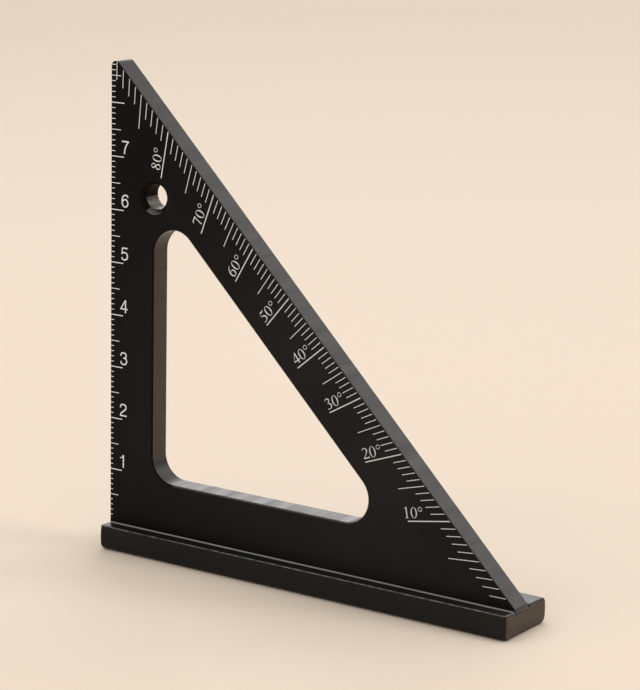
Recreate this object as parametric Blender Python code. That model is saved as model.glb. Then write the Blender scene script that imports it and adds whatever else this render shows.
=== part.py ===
"""Pocket layout square: a triangular blade with scales, dowelled and screwed to a low fence.

Metres, +Z up. X runs along the fence, Y through the blade from its marked face to its back.
The sizes are those of the tool's own corner, where the blade's rule edge meets the fence's
ledge; an empty there carries the pieces and puts the origin under the middle of the fence.
"""
import bpy
import bmesh
import math
from collections import namedtuple
from mathutils import Vector

# Blade
LEG = 0.0896                # from the corner to where the 45 degree edge would end, either way
TOP_FLAT = 0.0015           # width of the flat that blunts the top
TIP_FLAT = 0.0002           # height of the flat that blunts the tip, flush with the fence's end
BLADE_THICKNESS = 0.0044
TOP_ROUND = 0.0006          # the two corners of the blunted top
EDGE_BREAK = 0.0002         # small break along every outer edge of blade and fence
BLADE_HEIGHT = LEG - TOP_FLAT

# Window
WINDOW_SIDE = 0.0099        # rule edge to the window's upright wall
WINDOW_SILL = 0.0096        # ledge to the window's lower wall
WINDOW_BORDER = 0.0105      # width of the bar along the 45 degree edge
WINDOW_ROUND = 0.0048       # corner radius

# Hanging hole
HOLE_FROM_EDGE = 0.01005
HOLE_WEB = 0.0024           # metal left between the hole's rim and the window's top
HOLE_RADIUS = 0.00235
HOLE_SINK = 0.00085         # width and depth of the 45 degree countersink in the marked face

# Fence
FENCE_LENGTH = LEG - TIP_FLAT
FENCE_HEIGHT = 0.0048
FRONT_LEDGE = 0.0032        # ledge in front of the marked face
REAR_LEDGE = 0.0064
LEDGE_ROUND = 0.0004        # long edges of the two ledges
FOOT_ROUND = 0.0011         # long edges of the underside
RELIEF_WIDTH = 0.0008       # open margin of the channel on each side of the blade
CHANNEL_DEPTH = 0.0005

# Fit between pieces
CLEARANCE = 0.0003

# Screws, from below
SCREW_COUNT = 3
SCREW_END_MARGIN = 0.0120   # fence's end to the first and last screw
SCREW_RADIUS = 0.00125
SCREW_BITE = 0.0034         # how far the screw's tip stands above the ledge
SCREW_HEAD_RADIUS = 0.00235
SCREW_HEAD_HEIGHT = 0.0014
SCREW_HEAD_RECESS = 0.0002  # head lies this far inside the underside
SCREW_TIP_BREAK = 0.0003
SCREW_LENGTH = FENCE_HEIGHT - SCREW_HEAD_RECESS + SCREW_BITE
SOCKET_ACROSS_FLATS = 0.0015
SOCKET_DEPTH = 0.0009

# Dowel pins, from below, midway between the screws
DOWEL_RADIUS = 0.0010
DOWEL_BITE = 0.0028         # how far the pin's top stands above the ledge
DOWEL_RECESS = 0.0006       # pin lies this far inside the underside
DOWEL_END_BREAK = 0.0002
DOWEL_LENGTH = FENCE_HEIGHT - DOWEL_RECESS + DOWEL_BITE

# Graduations, cut as fine grooves in the marked face
MARK_DEPTH = 0.0001
MARK_WIDTH = 0.00025
SCALE_ZERO_HEIGHT = 0.00045  # the scales' zero stands this far above the ledge
RULE_PITCH = 0.0010
RULE_SHORT = 0.0008
RULE_MIDDLE = 0.0021
RULE_LONG = 0.0029
DEGREE_LAST = 89
DEGREE_START = 0.0003       # from the 45 degree edge, square to it, to a mark's outer end
DEGREE_SHORT = 0.0027       # and to the inner ends of the three lengths of mark
DEGREE_MIDDLE = 0.0051
DEGREE_LONG = 0.0075

# Smoothness and cutting
OVERRUN = 0.0010            # how far a cutter runs past the face it opens
ARC_STEPS = 6               # chords in each rounded corner
BREAK_STEPS = 2             # chords in each small edge break
CIRCLE_STEPS = 40
SMALL_CIRCLE_STEPS = 20
LEAST_ROUND_SHARE = 0.25    # of a corner's radius, kept where an edge break eats into it

Corner = namedtuple("Corner", "u v radius broken")
# A corner's radius is its round; broken says whether the edge that leaves it has an edge break.


def clear_scene():
    for thing in list(bpy.data.objects):
        bpy.data.objects.remove(thing, do_unlink=True)


def finish_material(name, colour, roughness, metallic):
    material = bpy.data.materials.new(name)
    material.use_nodes = True
    shader = material.node_tree.nodes["Principled BSDF"]
    shader.inputs["Base Color"].default_value = (*colour, 1.0)
    shader.inputs["Roughness"].default_value = roughness
    shader.inputs["Metallic"].default_value = metallic
    material.diffuse_color = (*colour, 1.0)
    return material


def add_object(name, mesh_maker, parent, material=None):
    mesh = bpy.data.meshes.new(name)
    mesh_maker.to_mesh(mesh)
    mesh_maker.free()
    mesh.shade_smooth()
    mesh.set_sharp_from_angle(angle=math.radians(32))
    thing = bpy.data.objects.new(name, mesh)
    bpy.context.collection.objects.link(thing)
    thing.parent = parent
    if material:
        mesh.materials.append(material)
    return thing


def hide_cutter(cutter):
    cutter.hide_render = True
    cutter.display_type = "WIRE"


def cut(target, cutter):
    """Take the cutter's shape out of the target."""
    hide_cutter(cutter)
    modifier = target.modifiers.new("cut_" + cutter.name, "BOOLEAN")
    modifier.operation = "DIFFERENCE"
    modifier.solver = "EXACT"
    modifier.object = cutter


def outline(corners, inset):
    """Points round a counter-clockwise outline whose broken edges are moved inwards by inset."""
    count = len(corners)
    edges = []
    for here, after in zip(corners, corners[1:] + corners[:1]):
        along = Vector((after.u - here.u, after.v - here.v)).normalized()
        inward = Vector((-along.y, along.x))
        shift = inset if here.broken else 0.0
        edges.append((Vector((here.u, here.v)) + inward * shift, along))
    points = []
    for index in range(count):
        (before_at, before), (after_at, after) = edges[index - 1], edges[index]
        turn = before.x * after.y - before.y * after.x
        gap = after_at - before_at
        meet = before_at + before * ((gap.x * after.y - gap.y * after.x) / turn)
        radius = corners[index].radius
        if not radius:
            points.append(meet)
            continue
        radius = max(radius - inset, radius * LEAST_ROUND_SHARE)
        bisector = (after - before).normalized()
        half = math.acos(max(-1.0, min(1.0, before.dot(after)))) / 2
        centre = meet + bisector * (radius / math.cos(half))
        start = math.atan2(-before.x, before.y)
        for step in range(ARC_STEPS + 1):
            angle = start + 2 * half * step / ARC_STEPS
            points.append(centre + Vector((math.cos(angle), math.sin(angle))) * radius)
    return points


def circle(u, v, radius, steps):
    """Points of a clockwise circle, the way round that a hole needs."""
    turns = [-2 * math.pi * step / steps for step in range(steps)]
    return [Vector((u + radius * math.cos(turn), v + radius * math.sin(turn))) for turn in turns]


def broken_ends(length, size):
    """Depth and inset of each ring of a bar whose two ends have a rounded edge break."""
    near = []
    for step in range(BREAK_STEPS + 1):
        angle = math.pi / 2 * step / BREAK_STEPS
        near.append((size * (1 - math.sin(angle)), size * (1 - math.cos(angle))))
    near.reverse()
    far = [(length - depth, inset) for depth, inset in reversed(near)]
    return near + far


def bar(ring_sets, place):
    """One closed body from sets of rings: the first set is the outside, the others are holes.

    A set lists the rings of one outline from the near end to the far end as (depth, points),
    and place turns a ring's (u, v) and depth into a point in space.
    """
    maker = bmesh.new()
    near_edges, far_edges = [], []
    for rings in ring_sets:
        loops = [[maker.verts.new(place(p.x, p.y, depth)) for p in points] for depth, points in rings]
        for low, high in zip(loops, loops[1:]):
            for index in range(len(low)):
                maker.faces.new((low[index - 1], low[index], high[index], high[index - 1]))
        near_edges += [maker.edges.get((loops[0][i - 1], loops[0][i])) for i in range(len(loops[0]))]
        far_edges += [maker.edges.get((loops[-1][i - 1], loops[-1][i])) for i in range(len(loops[-1]))]
    for edges in (near_edges, far_edges):
        bmesh.ops.triangle_fill(maker, use_beauty=True, use_dissolve=False, edges=edges)
    bmesh.ops.recalc_face_normals(maker, faces=maker.faces)
    return maker


def turned(profile, steps, foot):
    """One closed body turned about a vertical axis, from (height, radius) pairs, at a foot point."""
    maker = bmesh.new()
    loops = []
    for height, radius in profile:
        turns = [2 * math.pi * step / steps for step in range(steps)]
        loops.append([maker.verts.new(foot + Vector((radius * math.cos(t), radius * math.sin(t), height)))
                      for t in turns])
    for low, high in zip(loops, loops[1:]):
        for index in range(steps):
            maker.faces.new((low[index - 1], low[index], high[index], high[index - 1]))
    maker.faces.new(list(reversed(loops[0])))
    maker.faces.new(loops[-1])
    return maker


def joined(makers):
    """Several bodies in one mesh, each still a body of its own."""
    whole = bmesh.new()
    for maker in makers:
        mesh = bpy.data.meshes.new("passing")
        maker.to_mesh(mesh)
        maker.free()
        whole.from_mesh(mesh)
        bpy.data.meshes.remove(mesh)
    return whole


def box(low, high):
    maker = bmesh.new()
    size = high - low
    bmesh.ops.create_cube(maker, size=1)
    bmesh.ops.scale(maker, vec=size, verts=maker.verts)
    bmesh.ops.translate(maker, vec=(low + high) / 2, verts=maker.verts)
    return maker


def blade_outline():
    foot = CLEARANCE - CHANNEL_DEPTH
    end = FENCE_LENGTH
    return [Corner(0.0, foot, 0.0, False),
            Corner(end, foot, 0.0, True),
            Corner(end, TIP_FLAT, 0.0, True),
            Corner(TOP_FLAT, BLADE_HEIGHT, TOP_ROUND, True),
            Corner(0.0, BLADE_HEIGHT, TOP_ROUND, True)]


def window_reach():
    """Where the window's slanted wall would meet either leg."""
    return LEG - WINDOW_BORDER * math.sqrt(2)


def window_outline():
    reach = window_reach()
    return [Corner(WINDOW_SIDE, WINDOW_SILL, WINDOW_ROUND, True),
            Corner(reach - WINDOW_SILL, WINDOW_SILL, WINDOW_ROUND, True),
            Corner(WINDOW_SIDE, reach - WINDOW_SIDE, WINDOW_ROUND, True)]


def hole_rings():
    """The hanging hole: countersunk at the marked face, with an edge break at the back."""
    rim = HOLE_RADIUS + HOLE_SINK
    window_top = window_reach() - WINDOW_SIDE - WINDOW_ROUND * math.sqrt(2)
    height = window_top + HOLE_WEB + rim
    stations = [(0.0, rim),
                (HOLE_SINK, HOLE_RADIUS),
                (BLADE_THICKNESS - EDGE_BREAK, HOLE_RADIUS),
                (BLADE_THICKNESS, HOLE_RADIUS + EDGE_BREAK)]
    return [(depth, circle(HOLE_FROM_EDGE, height, radius, CIRCLE_STEPS)) for depth, radius in stations]


def fastener_places(count, first, last):
    """Evenly spaced points on the joint, under the middle of the blade."""
    step = (last - first) / (count - 1)
    return [Vector((first + step * index, BLADE_THICKNESS / 2, 0.0)) for index in range(count)]


def screw_places():
    return fastener_places(SCREW_COUNT, SCREW_END_MARGIN, FENCE_LENGTH - SCREW_END_MARGIN)


def dowel_places():
    half_step = (FENCE_LENGTH - 2 * SCREW_END_MARGIN) / (SCREW_COUNT - 1) / 2
    first = SCREW_END_MARGIN + half_step
    return fastener_places(SCREW_COUNT - 1, first, FENCE_LENGTH - first)


def rule_marks():
    """Millimetre marks up the rule edge, as many as it holds, longer at each fifth and each tenth."""
    marks = []
    room = BLADE_HEIGHT - EDGE_BREAK - MARK_WIDTH - SCALE_ZERO_HEIGHT
    for number in range(1, int(room / RULE_PITCH) + 1):
        length = RULE_LONG if number % 10 == 0 else RULE_MIDDLE if number % 5 == 0 else RULE_SHORT
        height = SCALE_ZERO_HEIGHT + number * RULE_PITCH
        marks.append((Vector((-OVERRUN, height)), Vector((length, height))))
    return marks


def degree_marks():
    """Degree marks along the 45 degree edge, all pointing at the scales' zero."""
    marks = []
    zero = Vector((0.0, SCALE_ZERO_HEIGHT))
    for number in range(1, DEGREE_LAST + 1):
        end = DEGREE_LONG if number % 10 == 0 else DEGREE_MIDDLE if number % 5 == 0 else DEGREE_SHORT
        ray = Vector((math.cos(math.radians(number)), math.sin(math.radians(number))))
        slant = math.cos(math.radians(number - 45))
        square_reach = (LEG - SCALE_ZERO_HEIGHT) / math.sqrt(2)
        inner = (square_reach - end) / slant
        outer = (square_reach - DEGREE_START) / slant
        marks.append((zero + ray * inner, zero + ray * outer))
    return marks


def mark_cutter(start, end):
    """A flat bar along one mark, from the blade's marked face inwards."""
    along = (end - start).normalized()
    side = Vector((-along.y, along.x)) * (MARK_WIDTH / 2)
    maker = bmesh.new()
    corners = [start - side, end - side, end + side, start + side]
    near = [maker.verts.new((p.x, -OVERRUN, p.y)) for p in corners]
    face = maker.faces.new(near)
    grown = bmesh.ops.extrude_face_region(maker, geom=[face])
    moved = [item for item in grown["geom"] if isinstance(item, bmesh.types.BMVert)]
    bmesh.ops.translate(maker, vec=(0.0, OVERRUN + MARK_DEPTH, 0.0), verts=moved)
    bmesh.ops.recalc_face_normals(maker, faces=maker.faces)
    return maker


def make_blade(corner, material):
    ends = broken_ends(BLADE_THICKNESS, EDGE_BREAK)
    outside = [(depth, outline(blade_outline(), inset)) for depth, inset in ends]
    window = [(depth, list(reversed(outline(window_outline(), -inset)))) for depth, inset in ends]
    body = bar([outside, window, hole_rings()], lambda u, v, depth: Vector((u, depth, v)))
    blade = add_object("blade", body, corner, material)

    foot = CLEARANCE - CHANNEL_DEPTH
    screw_top = SCREW_HEAD_RECESS - FENCE_HEIGHT + SCREW_LENGTH + CLEARANCE
    dowel_top = DOWEL_RECESS - FENCE_HEIGHT + DOWEL_LENGTH + CLEARANCE
    sockets = []
    for place in screw_places():
        profile = [(foot - OVERRUN, SCREW_RADIUS + CLEARANCE), (screw_top, SCREW_RADIUS + CLEARANCE)]
        sockets.append(turned(profile, SMALL_CIRCLE_STEPS, place))
    for place in dowel_places():
        profile = [(foot - OVERRUN, DOWEL_RADIUS + CLEARANCE), (dowel_top, DOWEL_RADIUS + CLEARANCE)]
        sockets.append(turned(profile, SMALL_CIRCLE_STEPS, place))
    cut(blade, add_object("foot_holes", joined(sockets), corner))
    for name, marks in (("rule_marks", rule_marks()), ("degree_marks", degree_marks())):
        cutters = [mark_cutter(start, end) for start, end in marks]
        cut(blade, add_object(name, joined(cutters), corner))
    return blade


def fence_outline():
    """The fence's section, front to back and up; its channel's margins are the relief grooves."""
    front, rear = -FRONT_LEDGE, BLADE_THICKNESS + REAR_LEDGE
    channel_front, channel_rear = -RELIEF_WIDTH, BLADE_THICKNESS + RELIEF_WIDTH
    return [Corner(front, -FENCE_HEIGHT, FOOT_ROUND, True),
            Corner(rear, -FENCE_HEIGHT, FOOT_ROUND, True),
            Corner(rear, 0.0, LEDGE_ROUND, True),
            Corner(channel_rear, 0.0, 0.0, False),
            Corner(channel_rear, -CHANNEL_DEPTH, 0.0, False),
            Corner(channel_front, -CHANNEL_DEPTH, 0.0, False),
            Corner(channel_front, 0.0, 0.0, True),
            Corner(front, 0.0, LEDGE_ROUND, True)]


def make_fence(corner, material):
    ends = broken_ends(FENCE_LENGTH, EDGE_BREAK)
    outside = [(depth, outline(fence_outline(), inset)) for depth, inset in ends]
    body = bar([outside], lambda u, v, depth: Vector((depth, u, v)))
    fence = add_object("fence", body, corner, material)

    under = -FENCE_HEIGHT
    seat = under + SCREW_HEAD_RECESS
    wide = SCREW_HEAD_RADIUS + CLEARANCE
    narrow = SCREW_RADIUS + CLEARANCE
    holes = []
    for place in screw_places():
        profile = [(under - OVERRUN, wide), (seat, wide), (seat + SCREW_HEAD_HEIGHT, narrow), (OVERRUN, narrow)]
        holes.append(turned(profile, SMALL_CIRCLE_STEPS, place))
    for place in dowel_places():
        profile = [(under - OVERRUN, DOWEL_RADIUS + CLEARANCE), (OVERRUN, DOWEL_RADIUS + CLEARANCE)]
        holes.append(turned(profile, SMALL_CIRCLE_STEPS, place))
    cut(fence, add_object("fastener_holes", joined(holes), corner))
    return fence


def make_screws(corner, material):
    """Countersunk screws with a hexagon socket, heads down."""
    foot = Vector((0.0, 0.0, SCREW_HEAD_RECESS - FENCE_HEIGHT))
    profile = [(0.0, SCREW_HEAD_RADIUS),
               (SCREW_HEAD_HEIGHT, SCREW_RADIUS),
               (SCREW_LENGTH - SCREW_TIP_BREAK, SCREW_RADIUS),
               (SCREW_LENGTH, SCREW_RADIUS - SCREW_TIP_BREAK)]
    socket_radius = SOCKET_ACROSS_FLATS / math.sqrt(3)
    socket = [(-OVERRUN, socket_radius), (SOCKET_DEPTH, socket_radius)]
    for number, place in enumerate(screw_places(), 1):
        body = turned(profile, SMALL_CIRCLE_STEPS, place + foot)
        screw = add_object(f"fence_screw_{number}", body, corner, material)
        cut(screw, add_object(f"hex_socket_{number}", turned(socket, 6, place + foot), corner))


def make_dowels(corner, material):
    foot = Vector((0.0, 0.0, DOWEL_RECESS - FENCE_HEIGHT))
    profile = [(0.0, DOWEL_RADIUS - DOWEL_END_BREAK),
               (DOWEL_END_BREAK, DOWEL_RADIUS),
               (DOWEL_LENGTH - DOWEL_END_BREAK, DOWEL_RADIUS),
               (DOWEL_LENGTH, DOWEL_RADIUS - DOWEL_END_BREAK)]
    for number, place in enumerate(dowel_places(), 1):
        body = turned(profile, SMALL_CIRCLE_STEPS, place + foot)
        add_object(f"dowel_pin_{number}", body, corner, material)


def main():
    clear_scene()
    middle = (BLADE_THICKNESS + REAR_LEDGE - FRONT_LEDGE) / 2
    corner = bpy.data.objects.new("tool_corner", None)
    bpy.context.collection.objects.link(corner)
    corner.location = (-FENCE_LENGTH / 2, -middle, FENCE_HEIGHT)

    anodised = finish_material("black_anodised_aluminium", (0.018, 0.017, 0.018), 0.42, 0.6)
    oxide = finish_material("black_oxide_steel", (0.030, 0.030, 0.032), 0.38, 0.8)
    ground = finish_material("ground_steel", (0.55, 0.55, 0.56), 0.25, 1.0)
    make_blade(corner, anodised)
    make_fence(corner, anodised)
    make_screws(corner, oxide)
    make_dowels(corner, ground)


main()
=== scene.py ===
"""Looks of the pocket layout square: black anodised blade and fence, laser-marked scales, a plain stage.

Sizes are in metres. A point of the tool is given by u along the fence, v up the rule edge and a
depth through the blade, all from the corner where the rule edge, the marked face and the fence's
ledge meet.
"""

import math
from collections import namedtuple

import bmesh
import bpy
from bpy.props import FloatProperty, FloatVectorProperty, IntProperty, PointerProperty
from mathutils import Matrix, Vector
from mathutils.geometry import delaunay_2d_cdt


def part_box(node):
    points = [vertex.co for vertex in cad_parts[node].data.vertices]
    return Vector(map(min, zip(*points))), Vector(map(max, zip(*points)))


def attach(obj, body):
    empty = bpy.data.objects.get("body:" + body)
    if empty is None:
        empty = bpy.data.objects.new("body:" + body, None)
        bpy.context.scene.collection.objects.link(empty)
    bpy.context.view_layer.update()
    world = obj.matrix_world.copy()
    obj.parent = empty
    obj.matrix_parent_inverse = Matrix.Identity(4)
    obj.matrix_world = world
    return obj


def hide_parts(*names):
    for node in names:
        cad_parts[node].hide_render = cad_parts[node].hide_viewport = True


bl_info = {
    "name": "Pocket layout square",
    "version": (1, 0, 0),
    "blender": (4, 5, 0),
    "location": "3D View > Sidebar > Layout square",
    "description": "Builds a small marking square with its scales, and a plain studio around it",
    "category": "Add Mesh",
}

MM = 0.001
SLANT = math.sqrt(2)

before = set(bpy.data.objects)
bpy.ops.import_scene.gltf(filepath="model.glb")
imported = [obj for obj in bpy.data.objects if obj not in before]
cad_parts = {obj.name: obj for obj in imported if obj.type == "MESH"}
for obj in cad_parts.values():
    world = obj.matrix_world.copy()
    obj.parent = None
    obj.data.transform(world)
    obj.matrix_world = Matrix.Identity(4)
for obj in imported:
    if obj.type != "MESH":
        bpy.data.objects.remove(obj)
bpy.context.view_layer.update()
BLADE_LOW, BLADE_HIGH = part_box("blade")
FENCE_LOW, FENCE_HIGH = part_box("fence")
CORNER = Vector((BLADE_LOW.x, BLADE_LOW.y, FENCE_HIGH.z))
THICKNESS = BLADE_HIGH.y - BLADE_LOW.y
HEIGHT = BLADE_HIGH.z - FENCE_HIGH.z
LENGTH = FENCE_HIGH.x - FENCE_LOW.x
TURN_STEPS = 48      # chords round a screw, a pin and their holes
OVAL_STEPS = 28      # chords round an oval letter
LEAST_AREA = 1e-14   # a thinner triangle of a letter, in square metres, is left out
WELD = 1e-8          # points of a letter that lie closer than this, in metres, are one
# A face counts as flat, upright or level where its normal has at least this much of an axis.
FACE_ON = 0.97
BLADE_UPRIGHT = 0.975
FENCE_UPRIGHT = 0.9
# The materials' places in the blade's list and in the fence's list.
FACE, EDGE, BLADE_END, BORE_REFLECTION, SHADE = range(5)
SIDE, FENCE_END, LEDGE, RUBBED_HIGHLIGHT, GROOVE_HIGHLIGHT = range(5)
SCREWS = ("fence_screw_1", "fence_screw_2", "fence_screw_3")
PINS = ("dowel_pin_1", "dowel_pin_2")

Corner = namedtuple("Corner", "u v radius broken")
# A corner's radius is its round; broken says whether the edge that leaves it has an edge break.
Stroke = namedtuple("Stroke", "points closed")


def length(name, description, millimetres):
    return FloatProperty(name=name, description=description, default=millimetres * MM, min=0.0,
                         precision=5, subtype="DISTANCE", unit="LENGTH")


def colour(name, description, value):
    return FloatVectorProperty(name=name, description=description, default=value, size=3,
                               min=0.0, max=1.0, subtype="COLOR")


def share(name, description, value):
    return FloatProperty(name=name, description=description, default=value, min=0.0, max=1.0,
                         subtype="FACTOR")


def power(name, description, value):
    return FloatProperty(name=name, description=description, default=value, min=0.0,
                         subtype="POWER", unit="POWER")


def angle(name, description, degrees):
    return FloatProperty(name=name, description=description, default=math.radians(degrees),
                         subtype="ANGLE", unit="ROTATION")


class BladeSettings(bpy.types.PropertyGroup):
    """Sizes of the blade that its box doesn't give."""
    top_flat: length("Top flat", "Width of the flat that blunts the top", 1.5)
    tip_flat: length("Tip flat", "Height of the flat that blunts the tip", 0.2)
    top_round: length("Top rounding", "Radius of the two corners of the blunted top", 0.9)
    tip_round: length("Tip rounding", "Radius where the slanted edge meets the flat tip", 1.2)
    edge_break: length("Edge break", "Rounding along the back face's edges", 0.12)
    front_break: length("Front edge break", "Rounding of the marked face's edges, in that face", 0.09)
    front_roll: length("Front edge roll", "How far that rounding reaches through the blade", 0.14)
    window_break: length("Window edge break", "Rounding of the window's front edge, in the face", 0.32)
    window_roll: length("Window edge roll", "How far that rounding reaches through the blade", 0.32)
    foot_gap: length("Foot gap", "Gap under the blade's foot in the slot", 0.05)
    window_side: length("Window side", "Rule edge to the window's upright wall", 9.9)
    window_sill: length("Window sill", "Ledge to the window's lower wall", 9.6)
    window_border: length("Window border", "Width of the bar along the slanted edge", 10.5)
    window_round: length("Window rounding", "Radius of the window's corners", 4.8)
    hole_from_edge: length("Hole from edge", "Rule edge to the middle of the hanging hole", 10.0)
    hole_web: length("Hole web", "Metal between the hole's rim and the window's top", 2.42)
    hole_radius: length("Hole radius", "Radius of the hanging hole", 2.38)
    hole_sink: length("Hole countersink", "Width and depth of the countersink", 0.85)


class FenceSettings(bpy.types.PropertyGroup):
    """Sizes of the fence that its box doesn't give."""
    groove_width: length("Groove width", "Width of the relief groove on each side of the blade", 0.8)
    groove_lift: length("Groove lift", "How far the groove's centre lies above the ledge", 0.1)
    groove_lip: length("Groove lip", "Flat between a groove and the blade", 0.02)
    slot_depth: length("Slot depth", "Depth of the slot that the blade stands in", 0.5)
    rim_round: length("Rim rounding", "Break of the ledges' inner edges", 0.1)
    front_round: length("Front rounding", "Radius of the front ledge's long outer edge", 0.25)
    rear_round: length("Rear rounding", "Radius of the rear ledge's long outer edge", 1.0)
    foot_round: length("Foot rounding", "Radius of the long edges of the underside", 1.25)
    end_break: length("End break", "How far the rounding of the two ends reaches along the fence", 0.35)
    end_reach: length("End reach", "How far that rounding reaches across the fence's ends", 0.6)
    ledge_reach: length("Ledge reach", "How far it reaches down from the ledges", 0.14)
    end_crown: length("End crown", "How far the two ends bulge between underside and ledge", 0.18)


class FastenerSettings(bpy.types.PropertyGroup):
    """Sizes of the screws and pins that their boxes don't give."""
    fit: length("Fit", "Gap round a fastener in its hole", 0.04)
    head_height: length("Head height", "Height of a screw's countersunk head", 1.4)
    head_land: length("Head land", "Straight rim of a screw's head", 0.15)
    shank_radius: length("Shank radius", "Outer radius of a screw's thread", 1.25)
    thread_depth: length("Thread depth", "Depth of a screw's thread", 0.2)
    thread_pitch: length("Thread pitch", "Distance between a thread's crests", 0.45)
    socket_across: length("Socket across flats", "Width of the hexagon socket", 1.5)
    socket_depth: length("Socket depth", "Depth of the hexagon socket", 0.9)
    end_break: length("End break", "Chamfer at a pin's ends and a screw's tip", 0.2)
    rim_break: length("Rim break", "Chamfer round the holes of the underside", 0.15)


class ScaleSettings(bpy.types.PropertyGroup):
    """Sizes of the marks and numbers on the blade."""
    zero_height: length("Zero height", "Height of both scales' zero above the ledge", 0.45)
    proud: length("Mark height", "How far a mark stands above the metal", 0.014)
    sunk: length("Mark root", "How far a mark reaches into the metal", 0.02)
    rule_pitch: length("Rule pitch", "Step between two marks of the rule", 1.0)
    rule_width: length("Rule line", "Width of a millimetre mark", 0.138)
    rule_wide: length("Rule line, tens", "Width of every tenth mark", 0.18)
    rule_short: length("Rule short", "Length of a millimetre mark", 0.62)
    rule_middle: length("Rule middle", "Length of every fifth mark", 1.88)
    rule_long: length("Rule long", "Length of every tenth mark", 2.70)
    rule_lean: share("Rule lean", "Sideways drift of the marks' ends for each length of height", 0.0043)
    number_size: length("Number size", "Type size of the rule's numbers", 3.45)
    number_side: length("Number side", "Rule edge to the start of a number", 2.05)
    number_rise: length("Number rise", "Mark to the foot of its number", 0.6)
    degree_width: length("Degree line", "Width of a degree mark", 0.138)
    degree_wide: length("Degree line, tens", "Width of every tenth mark", 0.20)
    degree_start: length("Degree start", "Slanted edge to a mark's outer end", 0.2)
    degree_short: length("Degree short", "Slanted edge to a mark's inner end", 2.63)
    degree_middle: length("Degree middle", "Slanted edge to every fifth mark's inner end", 5.02)
    degree_long: length("Degree long", "Slanted edge to every tenth mark's inner end", 7.4)
    degree_drift: length("Degree drift", "How far the steepest mark stands off its true ray", 0.225)
    degree_drift_low: FloatProperty(name="Degree drift, low", default=-0.02 * MM, precision=5,
                                    description="The same for the flattest mark",
                                    subtype="DISTANCE", unit="LENGTH")
    label_size: length("Label size", "Type size of the degree labels", 3.0)
    label_rise: length("Label rise", "Mark to the foot of its label", 0.55)


class FinishSettings(bpy.types.PropertyGroup):
    """Colours of the tool's finishes."""
    black: colour("Anodising", "Colour of the black anodised metal", (0.0034, 0.0030, 0.0029))
    black_pale: colour("Anodising, pale", "Palest colour in the black anodising",
                       (0.0078, 0.0068, 0.0062))
    face: colour("Blade face", "Darkest colour of the blade's faces", (0.0024, 0.0026, 0.0029))
    # The blade faces' pale colour about their middle is painted light.
    face_pale: colour("Blade face, pale", "Colour of the blade's faces about their middle",
                      (0.0175, 0.0165, 0.0158))
    end: colour("Cut ends", "Colour of the anodising on upright cut ends", (0.0110, 0.0052, 0.0018))
    end_pale: colour("Cut ends, pale", "Palest colour on upright cut ends", (0.0350, 0.0170, 0.0058))
    ledge: colour("Ledges", "Colour of the anodising on the ledges", (0.0075, 0.0072, 0.0070))
    ledge_pale: colour("Ledges, pale", "Palest colour on the ledges", (0.0150, 0.0146, 0.0140))
    # The rubbed edge's colours are partly wear and partly painted highlight.
    rubbed: colour("Rubbed edge", "Palest colour of the front ledge's edge", (0.16, 0.155, 0.15))
    rubbed_dark: colour("Rubbed edge, dark", "Darkest colour of that edge", (0.03, 0.028, 0.027))
    # The groove colours are painted highlight.
    groove: colour("Groove", "Colour of the metal in the front relief groove", (0.22, 0.215, 0.21))
    groove_dark: colour("Groove, dark", "Darkest colour in that groove", (0.09, 0.088, 0.086))
    # The colours of the hole's lower half are painted reflection.
    bore: colour("Bore", "Colour of the metal in the hole's lower half", (0.150, 0.140, 0.128))
    bore_dark: colour("Bore, dark", "Darkest colour there", (0.060, 0.053, 0.046))
    mark: colour("Marks", "Colour of the laser marks", (0.95, 0.97, 0.99))
    # The dull mark colour serves both the marks' grain and the painted shade towards the tip.
    mark_dull: colour("Marks, dull", "Dullest colour in the laser marks", (0.70, 0.72, 0.75))
    oxide: colour("Screws", "Colour of the black oxide on the screws", (0.020, 0.020, 0.022))
    oxide_pale: colour("Screws, rubbed", "Colour of the oxide where it is rubbed", (0.075, 0.073, 0.072))
    steel: colour("Pins", "Colour of the ground steel pins", (0.50, 0.50, 0.51))
    steel_pale: colour("Pins, bright", "Colour of the brightest grinding lines", (0.66, 0.66, 0.67))


class StageSettings(bpy.types.PropertyGroup):
    """The studio round the tool."""
    floor: colour("Floor", "Colour of the floor", (0.88, 0.76, 0.64))
    surround: colour("Surround", "Colour of the light from all round", (1.0, 0.955, 0.90))
    surround_strength: FloatProperty(name="Surround strength", description="Light from all round",
                                     default=0.56, min=0.0)
    back_power: power("Back light", "Power of the large lamp behind and above the tool", 19.0)
    low_power: power("Low back light", "Power of the lamp low behind the tool on the left", 47.0)
    side_power: power("Side light", "Power of the lamp on the right", 18.0)
    top_power: power("Top light", "Power of the lamp over the tool", 1.9)
    front_power: power("Front light", "Power of the lamp in front of the tool on the left", 2.0)
    lens: FloatProperty(name="Lens", description="Focal length of the camera, in millimetres",
                        default=142.253, min=1.0)
    camera_place: FloatVectorProperty(name="Camera place", description="Where the camera stands",
                                      default=(0.26683291, -0.39649394, 0.15492770), size=3,
                                      precision=5, subtype="TRANSLATION", unit="LENGTH")
    camera_turn: angle("Camera turn", "Turn of the camera about the upright", 33.92241526)
    camera_fall: angle("Camera fall", "How far the camera looks below the horizon", 12.94439521)
    camera_roll: angle("Camera roll", "Roll of the camera about its own view", 1.16968539)


class MeshSettings(bpy.types.PropertyGroup):
    """How finely rounded forms are cut up."""
    arc_steps: IntProperty(name="Arc steps", description="Chords in a rounded corner", default=16, min=3)
    break_steps: IntProperty(name="Break steps", description="Chords in an edge break", default=4, min=2)
    circle_steps: IntProperty(name="Circle steps", description="Chords round a hole", default=96, min=12)
    crown_steps: IntProperty(name="Crown steps", description="Slices of the fence's bulging ends",
                             default=10, min=2)
    curve_steps: IntProperty(name="Curve steps", description="Chords between two points of a letter",
                             default=5, min=1)


# Outlines

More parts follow.
